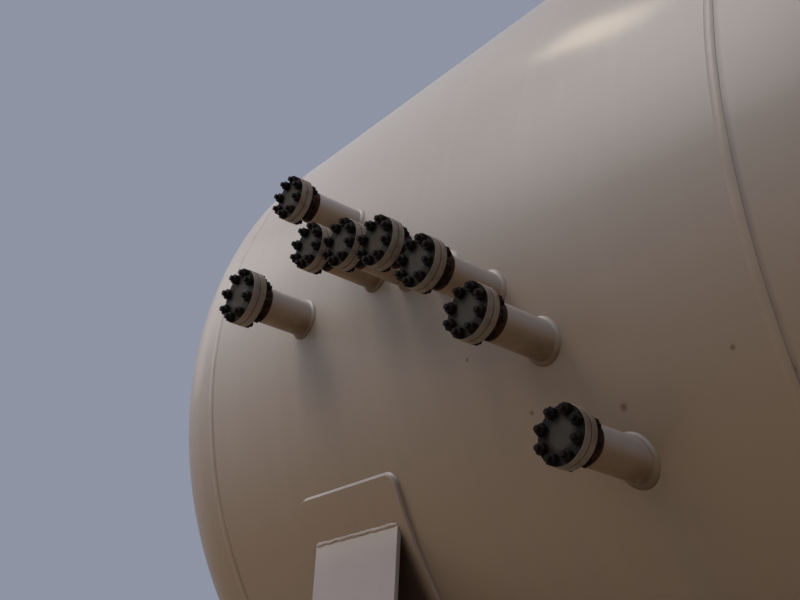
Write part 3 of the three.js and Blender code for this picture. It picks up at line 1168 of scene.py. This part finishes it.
class DESALTER_OT_saddles(bpy.types.Operator):
    """Saddle steel: web and ribs, end plates and base plates, with their fillet welds"""
    bl_idname = "desalter.saddles"
    bl_label = "Saddles"
    parts = ("web_and_ribs", "end_plate_front", "end_plate_back", "base_plate")
    # A bead's sides, the lengths that it is cut into, and its radius in parts of the weld's leg
    bead_sides = 10
    bead_step = 0.03
    bead_radius = 0.75
    # The fuller beads along the end plates' tops: how much fuller, how far in, and past each edge
    crest_fullness = 1.65
    crest_inset = 0.006
    crest_overhang = 0.003
    # How far below an end plate's top the upright beads end
    upright_end = 0.04
    # Size and height of the unevenness, on the corner beads and on those along the tops
    corner_waves = (0.02, 0.004)
    crest_waves = (0.014, 0.007)

    def execute(self, context):
        sizes = context.scene.desalter.sizes
        for side in SIDES:
            for part in self.parts:
                node = f"saddle_{side}_{part}"
                piece = merged_copy(node, node + "_steel", sizes.plate_bevel)
                finished(piece, "saddle_paint", "saddle_paint", node=node, sharp=25)
            self.welds(side, sizes)
        return {"FINISHED"}

    def welds(self, side, sizes):
        """Round beads laid in the corners where the plates meet."""
        base, web, front = (
            f"saddle_{side}_{part}" for part in ("base_plate", "web_and_ribs", "end_plate_front"))
        x = middle(base).x
        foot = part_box(base)[1].z
        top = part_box(front)[1].z - self.upright_end
        # The web is as thick as an end plate
        plate = extent(front).y
        half_plate, half_width = plate / 2, extent(web).x / 2
        crest_half = half_width + self.crest_overhang
        web_low, web_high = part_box(web)
        beads, crests = [], []
        for sign in (-1, 1):
            outer = sign * abs(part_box(front)[0].y)
            inner = outer - sign * plate
            beads.append(self.bead((x - half_width, outer, foot), (x + half_width, outer, foot), sizes))
            beside = x + sign * half_plate
            beads.append(self.bead((beside, web_low.y, foot), (beside, web_high.y, foot), sizes))
            crest = (outer - sign * self.crest_inset, self.seat(outer, sizes))
            crests.append(self.bead(
                (x - crest_half, *crest), (x + crest_half, *crest), sizes, self.crest_fullness))
            for edge in (x - half_plate, x + half_plate):
                beads.append(self.bead((edge, inner, foot), (edge, inner, top), sizes))
        weld = joined(f"saddle_{side}_welds", beads)
        uneven(weld, *self.corner_waves)
        finished(weld, "saddle_paint", "saddle_paint", sharp=80)
        crest_weld = joined(f"saddle_{side}_crest_welds", crests)
        modified(crest_weld, "SUBSURF", levels=2, render_levels=2)
        uneven(crest_weld, *self.crest_waves)
        finished(crest_weld, "shell_paint", "weld_paint", sharp=80)

    @staticmethod
    def seat(y, sizes):
        """Height of the wear plate's outside at a place across the vessel."""
        outside = SHELL_RADIUS + GAP + sizes.wear_thickness
        return AXIS_HEIGHT - math.sqrt(outside ** 2 - y ** 2)

    def bead(self, start, end, sizes, fullness=1.0):
        """A round bar between two points, cut into short lengths."""
        start, end = Vector(start), Vector(end)
        along = end - start
        deselect()
        bpy.ops.mesh.primitive_cylinder_add(
            vertices=self.bead_sides, radius=self.bead_radius * fullness * sizes.saddle_weld,
            depth=along.length, location=(start + end) / 2,
            rotation=along.to_track_quat("Z", "Y").to_euler())
        piece = started("bead")
        sliced(piece, start, end, max(2, round(along.length / self.bead_step)))
        return piece


class DESALTER_OT_anchors(bpy.types.Operator):
    """Anchor bolts with washers and nuts on the base plates"""
    bl_idname = "desalter.anchors"
    bl_label = "Anchor Bolts"
    # Places of the bolts from the saddle's middle, along and across the vessel
    along = (-0.150, 0.150)
    across = (-1.300, 1.300)
    # Thickness and chamfer of a washer
    washer_height = 0.006
    washer_chamfer = 0.001

    def execute(self, context):
        sizes = context.scene.desalter.sizes
        for side in SIDES:
            base = f"saddle_{side}_base_plate"
            x, top = middle(base).x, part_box(base)[1].z
            places = [Matrix.Translation((x + along, across, top))
                      for along in self.along for across in self.across]
            anchors = spread_out(f"saddle_{side}_anchors", self.anchor(sizes), places)
            finished(anchors, "blind_steel", "stud_steel", sharp=25)
        return {"FINISHED"}

    def anchor(self, sizes):
        """One bolt with its washer and nut, with most sizes in parts of its radius."""
        radius = sizes.anchor_radius
        height, chamfer = self.washer_height, self.washer_chamfer
        washer = turned("washer_pattern", [
            (2.0 * radius, 0.0), (2.05 * radius, chamfer), (2.05 * radius, height - chamfer),
            (2.0 * radius, height),
        ], 32)
        hexagon = nut("anchor_nut_pattern", 1.53 * radius, 1.7 * radius)
        shifted(hexagon, z=height)
        bolt = threaded("anchor_pattern", radius, 7 * radius, sizes.thread_pitch, 0.0)
        shifted(bolt, z=-3.0 * radius)
        return joined("anchor", [washer, hexagon, bolt])


class DESALTER_OT_piers(bpy.types.Operator):
    """Concrete piers and their grout beds"""
    bl_idname = "desalter.piers"
    bl_label = "Piers"
    # Each kind of piece: its node, the ending of its name, its finish and its rounding
    kinds = (("pier", "cast", "concrete", 0.004), ("grout", "bed", "grout", 0.003))

    def execute(self, context):
        for side in SIDES:
            for kind, ending, finish, bevel in self.kinds:
                node = f"{kind}_{side}"
                piece = merged_copy(node, f"{node}_{ending}", bevel)
                finished(piece, finish, finish, node=node, sharp=25)
        return {"FINISHED"}


# The stage's lamps: name, place, where it looks, size, spread in degrees, watts, colour
LAMPS = (
    ("near_key_light", (-3.4, -6.0, 9.9), (-2.1, 0.0, 3.25), (5.8, 7.5), 68, 114, (1.0, 0.95, 0.91)),
    ("far_key_light", (6.8, -6.0, 9.9), (6.8, 0.0, 3.25), (12.0, 7.5), 50, 19, (1.0, 0.95, 0.91)),
    ("back_light", (5.3, 6.0, 9.9), (5.3, 0.0, 3.25), (16.0, 5.0), 60, 70, (1.0, 0.97, 0.93)),
    ("glint_light", (-3.55, -3.9, 12.2), (1.25, -1.7, 3.66), (2.4, 0.8), 30, 1.35, (1, 0.83, 0.64)),
    ("left_light", (-10.0, -3.0, 8.5), (-1.5, 0.0, 3.9), (5.0, 5.0), 45, 7, (1.0, 0.95, 0.92)),
    ("right_light", (20.6, -3.0, 7.5), (12.1, 0.0, 3.5), (5.0, 5.0), 50, 9, (1.0, 0.92, 0.86)),
)
# Light from overhead that keeps the floor even: watts on a square metre, and its spread in degrees
OVERHEAD = (0.43, 120)


class DESALTER_OT_stage(bpy.types.Operator):
    """Plain pale floor, soft studio light and the camera of the photograph"""
    bl_idname = "desalter.stage"
    bl_label = "Stage"
    floor_radius = 60
    floor_middle = 5
    sensor_width = 36
    view_distance = 200

    def execute(self, context):
        settings = context.scene.desalter
        self.floor(settings.colours)
        self.surround(context.scene, settings.colours)
        for lamp in LAMPS:
            self.soft_light(*lamp)
        self.overhead_light(*OVERHEAD)
        self.camera(context.scene, settings.view)
        return {"FINISHED"}

    def floor(self, colours):
        """A pale disc, wide enough for every view."""
        deselect()
        bpy.ops.mesh.primitive_circle_add(
            vertices=96, radius=self.floor_radius, fill_type="NGON",
            location=(self.floor_middle, 0, 0))
        floor = started("floor")
        paint = Paint("floor_paint")
        colour = paint.mix(paint.noise(0.6, 3.0, 0.55), colours.floor, shade(colours.floor, 1.04))
        floor.data.materials.append(paint.done(colour, 0.85))

    @staticmethod
    def surround(scene, colours):
        """An even soft light from all round."""
        world = bpy.data.worlds.new("surround")
        world.use_nodes = True
        background = world.node_tree.nodes["Background"]
        background.inputs["Color"].default_value = (*colours.sky, 1)
        background.inputs["Strength"].default_value = 1.0
        scene.world = world
        scene.view_settings.view_transform = "Standard"

    @staticmethod
    def soft_light(name, place, target, size, spread, power, colour):
        """A large soft lamp that looks at a point, with its light kept within the spread in degrees."""
        deselect()
        bpy.ops.object.light_add(type="AREA", location=place)
        lamp = bpy.context.object
        lamp.name = name
        lamp.rotation_euler = (Vector(target) - Vector(place)).to_track_quat("-Z", "Y").to_euler()
        lamp.data.shape = "RECTANGLE"
        lamp.data.size, lamp.data.size_y = size
        lamp.data.spread = math.radians(spread)
        lamp.data.energy = power
        lamp.data.color = colour
        lamp.visible_camera = False

    @staticmethod
    def overhead_light(strength, spread):
        """Very soft light straight down."""
        deselect()
        bpy.ops.object.light_add(type="SUN", location=(0, 0, 20))
        lamp = bpy.context.object
        lamp.name = "overhead_light"
        lamp.data.energy = strength
        lamp.data.angle = math.radians(spread)

    def camera(self, scene, view):
        """The camera of the photograph, from its azimuth, pitch and roll."""
        sight = Vector((
            -math.sin(view.azimuth) * math.cos(view.pitch),
            math.cos(view.azimuth) * math.cos(view.pitch), math.sin(view.pitch)))
        level = Vector((math.cos(view.azimuth), math.sin(view.azimuth), 0))
        upright = level.cross(sight)
        right = math.cos(view.roll) * level + math.sin(view.roll) * upright
        up = math.cos(view.roll) * upright - math.sin(view.roll) * level
        turn = Matrix((right, up, -sight)).transposed().to_4x4()
        place = Vector((LEFT_SEAM + view.along, -view.side, AXIS_HEIGHT - view.below))
        data = bpy.data.cameras.new("photo_camera")
        data.sensor_width = self.sensor_width
        data.lens = view.focal
        data.clip_end = self.view_distance
        camera = bpy.data.objects.new("photo_camera", data)
        scene.collection.objects.link(camera)
        camera.matrix_world = Matrix.Translation(place) @ turn
        scene.camera = camera


OPERATORS = (
    DESALTER_OT_stage, DESALTER_OT_shell, DESALTER_OT_heads, DESALTER_OT_seams, DESALTER_OT_nozzles,
    DESALTER_OT_blinds, DESALTER_OT_bolting, DESALTER_OT_wear_plates, DESALTER_OT_saddles,
    DESALTER_OT_anchors, DESALTER_OT_piers,
)


class DESALTER_PT_panel(bpy.types.Panel):
    """Lists the steps of the vessel's dressing"""
    bl_idname = "DESALTER_PT_panel"
    bl_label = "Desalter Vessel"
    bl_space_type = "VIEW_3D"
    bl_region_type = "UI"
    bl_category = "Desalter"

    def draw(self, context):
        for operator in OPERATORS:
            self.layout.operator(operator.bl_idname)


CLASSES = (
    DesalterSizes, DesalterColours, DesalterView, DesalterSettings, *OPERATORS, DESALTER_PT_panel,
)


def register():
    for made in CLASSES:
        bpy.utils.register_class(made)
    bpy.types.Scene.desalter = PointerProperty(type=DesalterSettings)


def unregister():
    del bpy.types.Scene.desalter
    for made in reversed(CLASSES):
        bpy.utils.unregister_class(made)


def main():
    register()
    mix_finishes(bpy.context.scene.desalter.colours)
    bpy.ops.desalter.stage()
    bpy.ops.desalter.shell()
    bpy.ops.desalter.heads()
    bpy.ops.desalter.seams()
    bpy.ops.desalter.nozzles()
    bpy.ops.desalter.blinds()
    bpy.ops.desalter.bolting()
    bpy.ops.desalter.wear_plates()
    bpy.ops.desalter.saddles()
    bpy.ops.desalter.anchors()
    bpy.ops.desalter.piers()
    deselect()


if __name__ == "__main__":
    main()
